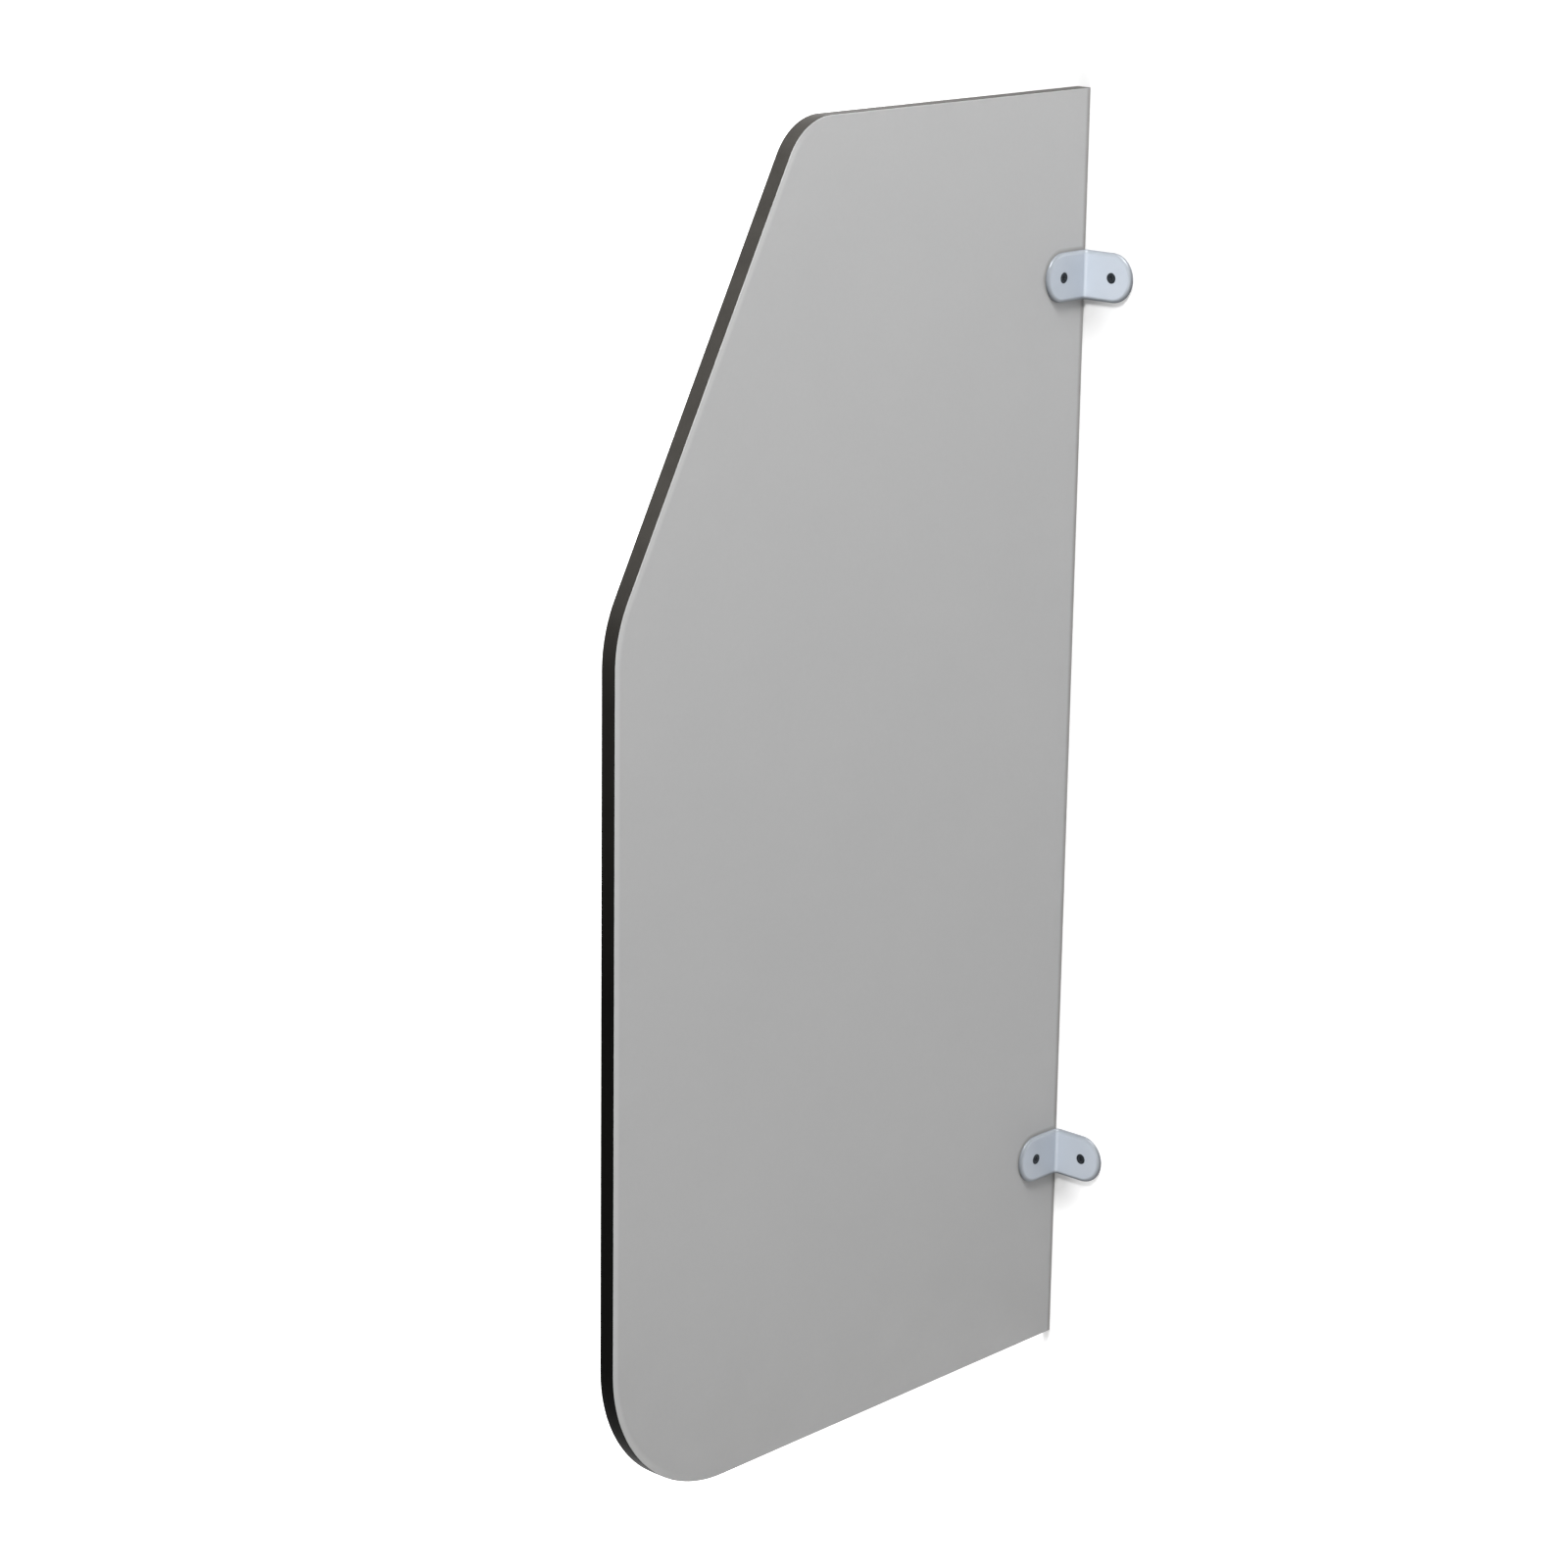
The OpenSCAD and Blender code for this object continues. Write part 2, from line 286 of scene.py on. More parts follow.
# %% Helper: start a material
def new_material(name, **plain):
    material = bpy.data.materials.new(name)
    material.use_nodes = True
    tree = material.node_tree
    shader = tree.nodes["Principled BSDF"]
    for key, value in plain.items():
        shader.inputs[key.replace("_", " ")].default_value = value
    return material, tree, shader


def blend(tree, factor, a, b):
    """A colour between a and b."""
    mixer = add(tree, "ShaderNodeMix", {"Factor": factor}, data_type="RGBA")
    for socket, value in zip(mixer.inputs[6:8], (a, b)):
        if isinstance(value, bpy.types.NodeSocket):
            tree.links.new(value, socket)
        else:
            socket.default_value = (*value, 1.0)
    return mixer.outputs[2]


def finish(tree, shader, colour, roughness, height, depth, strength):
    """Links the varying inputs: depth is the bump's height in metres."""
    tree.links.new(colour, shader.inputs["Base Color"])
    tree.links.new(roughness, shader.inputs["Roughness"])
    bump = add(tree, "ShaderNodeBump", {"Height": height, "Distance": depth, "Strength": strength})
    tree.links.new(bump.outputs[0], shader.inputs["Normal"])


# %% [markdown]
# ### Light-grey laminate face
#
# The sheet is printed paper under clear melamine resin, pressed against a fine matt plate. Close
# up it has a soft pebble texture, and from a step back a very slight cloudiness in the print and
# in the gloss, where hands and cloths have passed.

# %% Laminate: its print, pebble and gloss
PRINT_DARKER, PRINT_LIGHTER = (0.452, 0.455, 0.458), (0.488, 0.489, 0.490)
face_laminate, tree, shader = new_material("light grey laminate", IOR=1.5)
shader.inputs["Specular IOR Level"].default_value = 0.4
pebble = use(tree, grain, Per_metre=1400.0, Detail=2.0, Contrast=1.6)["Grain"]
cloud = use(tree, grain, Per_metre=7.0, Detail=3.0, Contrast=1.5)["Grain"]
specks = use(tree, grain, Per_metre=420.0, Detail=4.0, Contrast=1.4)["Grain"]
tone = total(tree, product(tree, cloud, 0.6), product(tree, specks, 0.4))
print_colour = blend(tree, tone, PRINT_DARKER, PRINT_LIGHTER)
gloss = vary(tree, cloud, 0.46, 0.58)
print("material", face_laminate.name)

# %% [markdown]
# Shade is painted on the board along the wall, where the board meets it, and round each bracket,
# but hardly below it, where the lamp throws a real shadow. The board is also darker towards its
# foot. A mask could be painted by hand, but here it is worked out from distances, so that it
# follows the sizes. A leaf is a round-ended strip, so the distance to it is the distance to a line
# from the wall to its hole, less half its width. The leaves lie equally far above and below Z = 0,
# so the sign of Z tells which one is nearer.

# %% Laminate: distances from the wall and from the nearer leaf
place = add(tree, "ShaderNodeTexCoord").outputs["Object"]
x, y, z = add(tree, "ShaderNodeSeparateXYZ", {"Vector": place}).outputs
from_wall = product(tree, y, -1.0)
past_hole = largest(tree, difference(tree, from_wall, HOLE_OUT * MM), 0.0)
leaf_height = product(tree, math_node(tree, "SIGN", z), HEIGHTS["upper"] * MM)
off_middle = difference(tree, z, leaf_height)
spoke = add(tree, "ShaderNodeCombineXYZ", {0: past_hole, 1: off_middle}).outputs[0]
reach = add(tree, "ShaderNodeVectorMath", {0: spoke}, operation="LENGTH").outputs["Value"]
from_leaf = difference(tree, reach, LEAF_HALF * MM)
on_bracket_side = math_node(tree, "GREATER_THAN", x, 0.0)
print("leaves start at the wall and end", HOLE_OUT + LEAF_HALF, "mm out")

# %% Laminate: painted shade, and a darker foot
SHADE_AND_FOOT_COLOUR = (0.26, 0.255, 0.245)
WALL_SHADE = (1.5 * MM, 4.2 * MM)
LEAF_SHADE = (0.6 * MM, 3.0 * MM)
LESS_BELOW_LEAF = (-14.0 * MM, 2.0 * MM)
DARKER_FOOT = (BOARD_BOTTOM * MM, (BOARD_BOTTOM + 180.0) * MM)
# Painted shade along the wall and round each leaf, much less below it; the board is also darker towards
# its foot.
shade_by_wall = remap(tree, from_wall, *WALL_SHADE, 1.0, 0.0)
shade_by_leaf = product(tree, remap(tree, from_leaf, *LEAF_SHADE, 0.9, 0.0),
                  remap(tree, off_middle, *LESS_BELOW_LEAF, 0.1, 1.0))
shade_by_leaf = product(tree, shade_by_leaf, on_bracket_side)
at_foot = remap(tree, z, *DARKER_FOOT, 0.2, 0.0)
patches = use(tree, grain, Per_metre=25.0, Detail=3.0, Contrast=1.6)["Grain"]
shade_and_darker_foot = largest(tree, shade_by_wall, shade_by_leaf, at_foot)
shade_and_darker_foot = product(tree, shade_and_darker_foot, vary(tree, patches, 0.5, 1.0))
print(f"grime within {WALL_SHADE[1] / MM:.1f} mm of the wall and {LEAF_SHADE[1] / MM:.1f} mm of a leaf")

# %% [markdown]
# A fine lighter line is painted down the front along the rim of the face: a painted highlight, where the
# rounded arris catches the light.
# The mesh marks the rim, and the line fades out where the edge turns along the top and the foot.

# %% Laminate: the painted highlight on the rim, and the finish
PAINTED_HIGHLIGHT_COLOUR = (0.65, 0.65, 0.645)
CLEAR_OF_WALL = 6.0 * MM
LINE_ENDS = [(BOARD_TOP - 6.0, BOARD_TOP - 20.0), (BOARD_BOTTOM + 4.0, BOARD_BOTTOM + 30.0)]
rim = add(tree, "ShaderNodeAttribute", attribute_name="rim").outputs["Fac"]
# The painted highlight: a lighter line on the marked rim, clear of the wall, fading at the top and the
# foot.
painted_highlight = product(tree, rim, math_node(tree, "GREATER_THAN", from_wall, CLEAR_OF_WALL))
for gone, full in LINE_ENDS:
    painted_highlight = product(tree, painted_highlight, remap(tree, z, gone * MM, full * MM, 0.0, 1.0))
face_colour = blend(tree, shade_and_darker_foot, blend(tree, painted_highlight, print_colour, PAINTED_HIGHLIGHT_COLOUR), SHADE_AND_FOOT_COLOUR)
finish(tree, shader, face_colour, gloss, pebble, depth=0.00002, strength=0.5)
print(face_laminate.name, "has", len(tree.nodes), "nodes")

# %% [markdown]
# ### Milled core
#
# The core is dozens of sheets of brown kraft paper, soaked in resin and pressed until they turn
# nearly black. A cutter leaves the edge with the sheets showing as fine lines along it, crossed by
# the faint ripple of the blades, and polishing leaves a dull sheen. The sheen of the sloping edge is
# painted into its colour, as a lighter painted sheen that thins out round the knee and fades away
# down the upright edge.

# %% Core
CORE_DARKER, CORE_LIGHTER = (0.0006, 0.0005, 0.0004), (0.0018, 0.0016, 0.0012)
board_core, tree, shader = new_material("milled phenolic core", IOR=1.5)
shader.inputs["Specular IOR Level"].default_value = 0.03
sheets = use(tree, grain, Per_metre=10.0, Stretch=(420.0, 1.0, 1.0), Detail=2.0, Contrast=1.8)["Grain"]
ripple = use(tree, grain, Per_metre=450.0, Stretch=(0.02, 1.0, 1.0), Detail=1.0, Contrast=1.5)["Grain"]
tone = total(tree, product(tree, sheets, 0.8), product(tree, ripple, 0.2))
edge_colour = blend(tree, tone, CORE_DARKER, CORE_LIGHTER)
gloss = vary(tree, tone, 0.38, 0.46)
print("material", board_core.name)

# %% Core: its painted sheen
PAINTED_SHEEN_COLOUR = (0.045, 0.042, 0.038)
KNEE = BOARD_BOTTOM + KNEE_HEIGHT
SHEEN_BELOW_KNEE = ((KNEE - 237.0) * MM, (KNEE - 47.0) * MM)
SHEEN_ROUND_KNEE = ((KNEE - 47.0) * MM, (KNEE + 63.0) * MM)
place = add(tree, "ShaderNodeTexCoord").outputs["Object"]
height = add(tree, "ShaderNodeSeparateXYZ", {"Vector": place}).outputs["Z"]
# The sloping edge is painted lighter, as its sheen, fading round the knee and down the upright edge.
painted_sheen = total(tree, remap(tree, height, *SHEEN_BELOW_KNEE, 0.0, 0.27),
             remap(tree, height, *SHEEN_ROUND_KNEE, 0.0, 0.70))
patches = use(tree, grain, Per_metre=60.0, Detail=3.0, Contrast=1.4)["Grain"]
painted_sheen = product(tree, painted_sheen, vary(tree, patches, 0.75, 1.0))
edge_colour = blend(tree, painted_sheen, edge_colour, PAINTED_SHEEN_COLOUR)
finish(tree, shader, edge_colour, gloss, tone, depth=0.00002, strength=0.6)
print("the knee is at", round(KNEE, 1), "mm")

# %% [markdown]
# ### Satin bracket metal
#
# The brackets are pressed from steel strip and plated in a bluish satin. The plate has a fine
# grain along the strip and a trace of cloudiness, and shade is painted over the rounded rims, which
# makes them darker. How far a point is out on the rim comes with the mesh, as the marks of its rows.

# %% Bracket metal
PLATE_DARKER, PLATE_LIGHTER = (0.497, 0.545, 0.607), (0.535, 0.578, 0.640)
PAINTED_RIM_SHADE = (0.18, 0.195, 0.215)
bracket_metal, tree, shader = new_material("satin plated steel", Metallic=0.15)
brushed = use(tree, grain, Per_metre=900.0, Stretch=(0.08, 0.08, 1.0), Detail=3.0, Contrast=1.4)["Grain"]
cloud = use(tree, grain, Per_metre=60.0, Detail=3.0, Contrast=1.3)["Grain"]
rim = add(tree, "ShaderNodeAttribute", attribute_name="rim").outputs["Fac"]
# The marked rims are painted darker, as shade.
plate = blend(tree, rim, blend(tree, cloud, PLATE_DARKER, PLATE_LIGHTER), PAINTED_RIM_SHADE)
finish(tree, shader, plate, vary(tree, cloud, 0.38, 0.48), brushed, depth=0.00001, strength=0.4)
print("material", bracket_metal.name)

# %% [markdown]
# ### Blackened screws, brass and nylon
#
# The screws are dipped black and oiled, and driving them bares the steel at the edges of the
# recess. The inserts are turned brass. The plugs are moulded nylon, a little milky, with flow
# lines along them.

# %% Screw steel
BLACK_DARKER, BLACK_LIGHTER = (0.018, 0.022, 0.027), (0.045, 0.052, 0.060)
BARE_STEEL, BARED = (0.42, 0.44, 0.46), 0.35
screw_steel, tree, shader = new_material("blackened steel", Metallic=0.7)
cloud = use(tree, grain, Per_metre=700.0, Detail=3.0, Contrast=1.5)["Grain"]
edge = use(tree, rubbed, Radius=0.0002, Low=0.1, High=0.5)["Rubbed"]
black = blend(tree, cloud, BLACK_DARKER, BLACK_LIGHTER)
steel = blend(tree, product(tree, edge, BARED), black, BARE_STEEL)
finish(tree, shader, steel, vary(tree, cloud, 0.32, 0.5), cloud, depth=0.00001, strength=0.4)
print("material", screw_steel.name)

# %% Insert brass
BRASS_DARKER, BRASS_LIGHTER = (0.62, 0.43, 0.16), (0.78, 0.58, 0.26)
insert_brass, tree, shader = new_material("turned brass", Metallic=1.0)
lines = use(tree, grain, Per_metre=2500.0, Stretch=(1.0, 0.05, 0.05), Detail=2.0)["Grain"]
brass = blend(tree, lines, BRASS_DARKER, BRASS_LIGHTER)
finish(tree, shader, brass, vary(tree, lines, 0.22, 0.36), lines, depth=0.00001, strength=0.5)
print("material", insert_brass.name)

# %% Plug nylon
NYLON_DARKER, NYLON_LIGHTER = (0.44, 0.46, 0.48), (0.52, 0.54, 0.56)
plug_nylon, tree, shader = new_material("moulded nylon", Subsurface_Weight=0.1, Subsurface_Scale=0.001)
flow = use(tree, grain, Per_metre=500.0, Stretch=(1.0, 0.1, 1.0), Detail=2.0)["Grain"]
cloud = use(tree, grain, Per_metre=150.0, Detail=2.0)["Grain"]
nylon = blend(tree, cloud, NYLON_DARKER, NYLON_LIGHTER)
finish(tree, shader, nylon, vary(tree, cloud, 0.36, 0.5), flow, depth=0.00002, strength=0.5)
print("material", plug_nylon.name)

# %% [markdown]
# ## The board
#
# The outline has five corners: two at the wall, which are square, and three in front, which are
# rounded. It could be drawn as a curve and extruded, but then each sheet's rounded arris would
# not follow it evenly. Here every point of the outline also carries its outward direction, so
# that a row of points can be drawn in by any distance.

# %% The outline, as points with their outward directions
ARC_STEP = math.radians(1.5)


def outline_points(corners):
    points = []
    for i, (y, z, radius) in enumerate(corners):
        here = Vector((y, z))
        back = (Vector(corners[i - 1][:2]) - here).normalized()
        ahead = (Vector(corners[(i + 1) % len(corners)][:2]) - here).normalized()
        arriving, leaving = Vector((-back.y, back.x)), Vector((ahead.y, -ahead.x))
        if radius == 0:
            points.append((here, (arriving + leaving) / (1 + arriving.dot(leaving))))
            continue
        half = math.acos(back.dot(ahead)) / 2
        centre = here + (back + ahead).normalized() * radius / math.sin(half)
        steps = math.ceil((math.pi - 2 * half) / ARC_STEP)
        start = math.atan2(arriving.y, arriving.x)
        for k in range(steps + 1):
            angle = start + (math.pi - 2 * half) * k / steps
            out = Vector((math.cos(angle), math.sin(angle)))
            points.append((centre + out * radius, out))
    return points


BOARD = outline_points(OUTLINE)


def board_row(inset, x):
    """The outline drawn in by inset, on the plane X = x."""
    return [(x, *(point - out * inset)) for point, out in BOARD]


def in_board_plane(p):
    return p.y, p.z


print(len(BOARD), "points round the board")

# %% [markdown]
# The core fills the board between its sheets. Its edge stands back a hair where it meets them,
# because the cutter takes the softer core a little deeper, and that draws the fine line that
# parts grey from black. The pockets for the two inserts open on the bracket side.

# %% Core of the board
POCKET, POCKET_DEPTH = 3.2, 7.7
SEAM, SEAM_WIDTH = 0.06, 0.15


def circle_row(radius, x, z, count=48):
    angles = (2 * math.pi * k / count for k in range(count))
    return [(x, -HOLE_OUT + radius * math.cos(a), z + radius * math.sin(a)) for a in angles]


skin = Skin()
profile = [(SEAM, CORE_HALF), (0.0, CORE_HALF - SEAM_WIDTH)]
profile += [(inset, -x) for inset, x in profile[::-1]]
rows = skin.skin_rows([board_row(inset, x) for inset, x in profile])
pockets = []
for z in HEIGHTS.values():
    pocket = [circle_row(POCKET, x, z) for x in (CORE_HALF, CORE_HALF - POCKET_DEPTH)]
    mouth, floor_row = skin.skin_rows(pocket)
    skin.fill([floor_row], in_board_plane)
    pockets.append(mouth)
skin.fill([rows[0], *pockets], in_board_plane)
skin.fill([rows[-1]], in_board_plane)
make_piece("board_core", skin, board_core, "board_core", "core_board")

# %% [markdown]
# Each face sheet is a thin plate with its outer edge rounded over, in six steps, as a cutter with
# a quarter round leaves it. Only the outermost tenth of a millimetre is the printed paper: below
# it the round bares the same brown-black layers as in the core, so from in front the dark edge
# runs right up to the face. Two more rows on the face mark the rim that carries the painted
# highlight, with less than half a mark, so that it still counts as paper.

# %% Face sheets
ROUND_STEPS = 6
PAPER = 0.1
HIGHLIGHT_MARK, HIGHLIGHT_WIDTH = 0.4, 5.0


def face_sheet(name, side, holes, node):
    skin = Skin()
    inner, outer = side * CORE_HALF, side * BOARD_HALF
    profile = [(0.0, inner)]
    for k in range(ROUND_STEPS + 1):
        angle = math.pi / 2 * k / ROUND_STEPS
        profile.append((ARRIS * (1 - math.cos(angle)), outer - side * ARRIS * (1 - math.sin(angle))))
    marks = [1.0 if abs(outer - x) > PAPER else HIGHLIGHT_MARK for _, x in profile]
    profile += [(ARRIS + HIGHLIGHT_WIDTH / 2, outer), (ARRIS + HIGHLIGHT_WIDTH, outer)]
    marks += [HIGHLIGHT_MARK, 0.0]
    rows = skin.skin_rows([board_row(inset, x) for inset, x in profile], marks=marks)
    hole_rows = [skin.skin_rows([circle_row(POCKET, x, z) for x in (inner, outer)]) for z in holes]
    skin.fill([rows[0], *(pair[0] for pair in hole_rows)], in_board_plane)
    skin.fill([rows[-1], *(pair[1] for pair in hole_rows)], in_board_plane)
    make_piece(name, skin, face_laminate, "face_laminate", node, cut_edge=board_core)


face_sheet("near_face", 1, HEIGHTS.values(), "near_face_sheet")
face_sheet("far_face", -1, (), "far_face_sheet")

# %% [markdown]
# ## The brackets
#
# A bracket is a flat blank with two round ends, pressed over at the middle. It is built as it is
# made: the blank is laid out flat along u, and a function then bends it. Along the fold, u counts
# degrees, and on the leaves it counts millimetres away from the fold.

# %% Bend a flat point into its place
BEND_OUTSIDE = BEND_INSIDE + LEAF


def bend(z):
    def place(p):
        u, across, lift = p
        turned = math.radians(min(max(u, 0.0), 90.0))
        reach = BEND_OUTSIDE - lift
        x = BOARD_HALF + BEND_OUTSIDE - reach * math.cos(turned) + max(u - 90.0, 0.0)
        y = -BEND_OUTSIDE + reach * math.sin(turned) + min(u, 0.0)
        return x, y, z + across
    return place


print("a bend of", BEND_OUTSIDE, "mm outside radius")

# %% [markdown]
# The blank's outline runs down one side, round an end, back up the other side and round again.
# Each point carries its outward direction, as on the board.

# %% The blank's outline
STRAIGHT = HOLE_OUT - BEND_OUTSIDE
END_STEPS, SIDE_STEPS, BEND_STEPS = 48, 6, 12


def hole_centre(side):
    """The u of a leaf's hole: side is -1 for the leaf on the board and 1 for the one on the wall."""
    return 90.0 + STRAIGHT if side > 0 else -STRAIGHT


side_u = ([-STRAIGHT + STRAIGHT * k / SIDE_STEPS for k in range(SIDE_STEPS)]
          + [90.0 * k / BEND_STEPS for k in range(BEND_STEPS)]
          + [90.0 + STRAIGHT * k / SIDE_STEPS for k in range(SIDE_STEPS)])
blank = [(u, -LEAF_HALF, 0.0, -1.0) for u in side_u]
for side in (1, -1):
    for k in range(END_STEPS):
        angle = math.pi * (k / END_STEPS - side / 2)
        out = (math.cos(angle), math.sin(angle))
        blank.append((hole_centre(side) + LEAF_HALF * out[0], LEAF_HALF * out[1], *out))
    if side > 0:
        blank += [(90.0 - u, LEAF_HALF, 0.0, 1.0) for u in side_u]
print(len(blank), "points round the blank")

# %% [markdown]
# The blank's edge is rounded over in front, where the die draws it, and only eased behind. The
# marks start at full on its side wall and run out where the round meets the face, for the painted
# rim shade to darken with them.

# %% The blank's edge
FRONT_ROUND, FRONT_DROP, FRONT_STEPS = 3.0, 1.9, 9
BACK_ROUND, BACK_STEPS = 0.2, 3


def quarter(width, drop, face, steps):
    """(inset, lift) of the points of a rounded-over edge, from the side wall to the face."""
    angles = (math.pi / 2 * k / steps for k in range(steps + 1))
    return [(width * (1 - math.cos(a)), face - drop * (1 - math.sin(a))) for a in angles]


back_edge = quarter(BACK_ROUND, -BACK_ROUND, 0.0, BACK_STEPS)[::-1]
front_edge = quarter(FRONT_ROUND, FRONT_DROP, LEAF, FRONT_STEPS)
edge_profile = back_edge + front_edge
edge_marks = [0.0] + [1.0] * BACK_STEPS + [1.0 - min(1.0, inset / FRONT_ROUND) for inset, _ in front_edge]
print(len(edge_profile), "points across the blank's edge")

# %% [markdown]
# Round each screw hole the faces run out like spokes, from the hole to the leaf's outline, so the
# countersink stays truly round and the flat of the leaf has even faces. The same spokes serve
# both sides of the plate.

# %% Rows of points on a leaf
FOLD_STEPS = 12


def fold_line(inset):
    reach = LEAF_HALF - inset
    return [reach * (2 * k / FOLD_STEPS - 1) for k in range(FOLD_STEPS + 1)]


def leaf_rim(side, inset):
    """The outline of one leaf's flat: its end, its two sides, and the line where the fold starts."""
    centre, reach = hole_centre(side), LEAF_HALF - inset
    angles = [math.pi * k / END_STEPS - math.pi / 2 for k in range(END_STEPS + 1)]
    rim = [(centre + side * reach * math.cos(a), reach * math.sin(a)) for a in angles]
    to_fold = [centre - side * STRAIGHT * k / SIDE_STEPS for k in range(1, SIDE_STEPS + 1)]
    rim += [(u, reach) for u in to_fold]
    rim += [(to_fold[-1], v) for v in fold_line(inset)[::-1][1:-1]]
    rim += [(u, -reach) for u in to_fold[::-1]]
    return rim


def spoke_ring(rim, centre, radius, lift):
    """The points at one radius round a hole, on the spokes that run to the rim."""
    spokes = (Vector((u - centre, v)).normalized() * radius for u, v in rim)
    return [(centre + spoke.x, spoke.y, lift) for spoke in spokes]


print(len(leaf_rim(1, BACK_ROUND)), "spokes on each leaf")

# %% [markdown]
# Each hole's mouth is eased, its countersink ends in a straight bore, and its far end is eased
# too. One more ring round it on the back keeps the long spokes there flat.

# %% The brackets
MOUTH_EASE = [(0.12, 0.0), (0.03, 0.04), (0.0, 0.12)]
BORE_EASE, BACK_RING = 0.15, 0.8


def bracket(name, z, node):
    skin = Skin(bend(z))
    skin.skin_rows([[(u - nu * inset, v - nv * inset, lift) for u, v, nu, nv in blank]
                    for inset, lift in edge_profile], marks=edge_marks)
    for inset, lift in ((FRONT_ROUND, LEAF), (BACK_ROUND, 0.0)):
        skin.skin_rows([[(90.0 * k / BEND_STEPS, v, lift) for v in fold_line(inset)]
                        for k in range(BEND_STEPS + 1)], closed=False)
    for side, hole in ((-1, BOARD_LEAF_HOLE), (1, WALL_LEAF_HOLE)):
        centre, front, back = hole_centre(side), leaf_rim(side, FRONT_ROUND), leaf_rim(side, BACK_ROUND)
        rings = [(HEAD / 2 + wider, LEAF - deeper) for wider, deeper in MOUTH_EASE]
        rings += [(HEAD / 2, LEAF - HEAD_RIM), (hole, LEAF - HEAD_RIM - HEAD / 2 + hole),
                  (hole, BORE_EASE), (hole + BORE_EASE, 0.0)]
        rows = [[(u, v, LEAF) for u, v in front]]
        rows += [spoke_ring(front, centre, radius, lift) for radius, lift in rings]
        rows += [spoke_ring(back, centre, hole + BACK_RING, 0.0), [(u, v, 0.0) for u, v in back]]
        skin.skin_rows(rows)
    make_piece(name, skin, bracket_metal, "bracket_metal", node, sharp=40)


for end, z in HEIGHTS.items():
    bracket(f"{end}_angle_bracket", z, f"{end}_bracket")

# %% [markdown]
# ## The screws
#
# A screw is turned on one axis, so its rows are rings. The recess is not round, but every line
# out from the middle of a head crosses its outline only once, so the same number of points can
# go round the cross and round the head, and plain quads join them. The points are closest where
# the outline turns a corner. The thread is a ripple in the radius that climbs one pitch in each
# turn.

# %% The cross recess as a distance from the axis
OCTANT = [0.0, 6.5, 12.8, 17.0, 22.0, 29.0, 37.0]
quadrant = OCTANT + [45.0] + [90.0 - a for a in OCTANT[:0:-1]]
turns = [math.radians(90 * k + a) for k in range(4) for a in quadrant]
CORNER_EASE = 0.82


def cross_reach(angle, span, slot):
    """How far the outline of a cross lies from its middle, with eased inner corners."""
    inside = angle % (math.pi / 2)
    inside = min(inside, math.pi / 2 - inside)
    arm = span / 2 / math.cos(inside)
    flank = slot / 2 / max(math.sin(inside), 1e-6)
    return max(min(arm, flank), slot * CORNER_EASE)


print(len(turns), "points round each screw")

# %% [markdown]
# The thread fades in under the cone and out at the point, as rolled threads do. The board screw
# has fine machine threads for its insert, and the wall screw has coarse ones and a long point.

# %% Sizes of the screws
BOARD_SCREW = {"radius": 2.0, "root": 1.6, "length": 10.0, "pitch": 0.7,
               "point": 0.5, "tip": 1.5, "recess_end": 1.65}
WALL_SCREW = {"radius": 2.25, "root": 1.45, "length": 45.0, "pitch": 2.2,
              "point": 5.0, "tip": 0.3, "recess_end": 1.75}
THREAD_ROWS, THREAD_GAP, THREAD_STEEPNESS = 12, 0.2, 3.2
BLUNT_TIP = 0.9


def ring(depth, reach):
    """A row round the axis: reach is a function that gives the distance out at each angle."""
    return [(reach(a) * math.cos(a), reach(a) * math.sin(a), depth) for a in turns]


def thread_reach(angle, depth, pitch, valley, crest):
    phase = (depth / pitch - angle / (2 * math.pi)) % 1.0
    return valley + (crest - valley) * max(0.0, 1.0 - abs(phase - 0.5) * THREAD_STEEPNESS)


print("wall screw", WALL_SCREW["length"], "mm, board screw", BOARD_SCREW["length"], "mm")

# %% [markdown]
# The rows go from the bottom of the recess out over the head, down its cone and along the
# thread to the point. The recess is a list of crosses, from the deepest to the one at the top,
# each with its span, its slot and its depth, and the head's rim is eased in three rows.

# %% Screws
RECESS = [(1.9, 0.62, 1.42), (2.5, 0.72, 1.2), (3.5, 0.85, 0.55), (4.4, 1.0, 0.06), (4.52, 1.1, 0.0)]
HEAD_CLEARANCE = 0.06
HEAD_EASE = [(0.25, 0.0), (0.08, 0.02), (0.0, 0.1)]


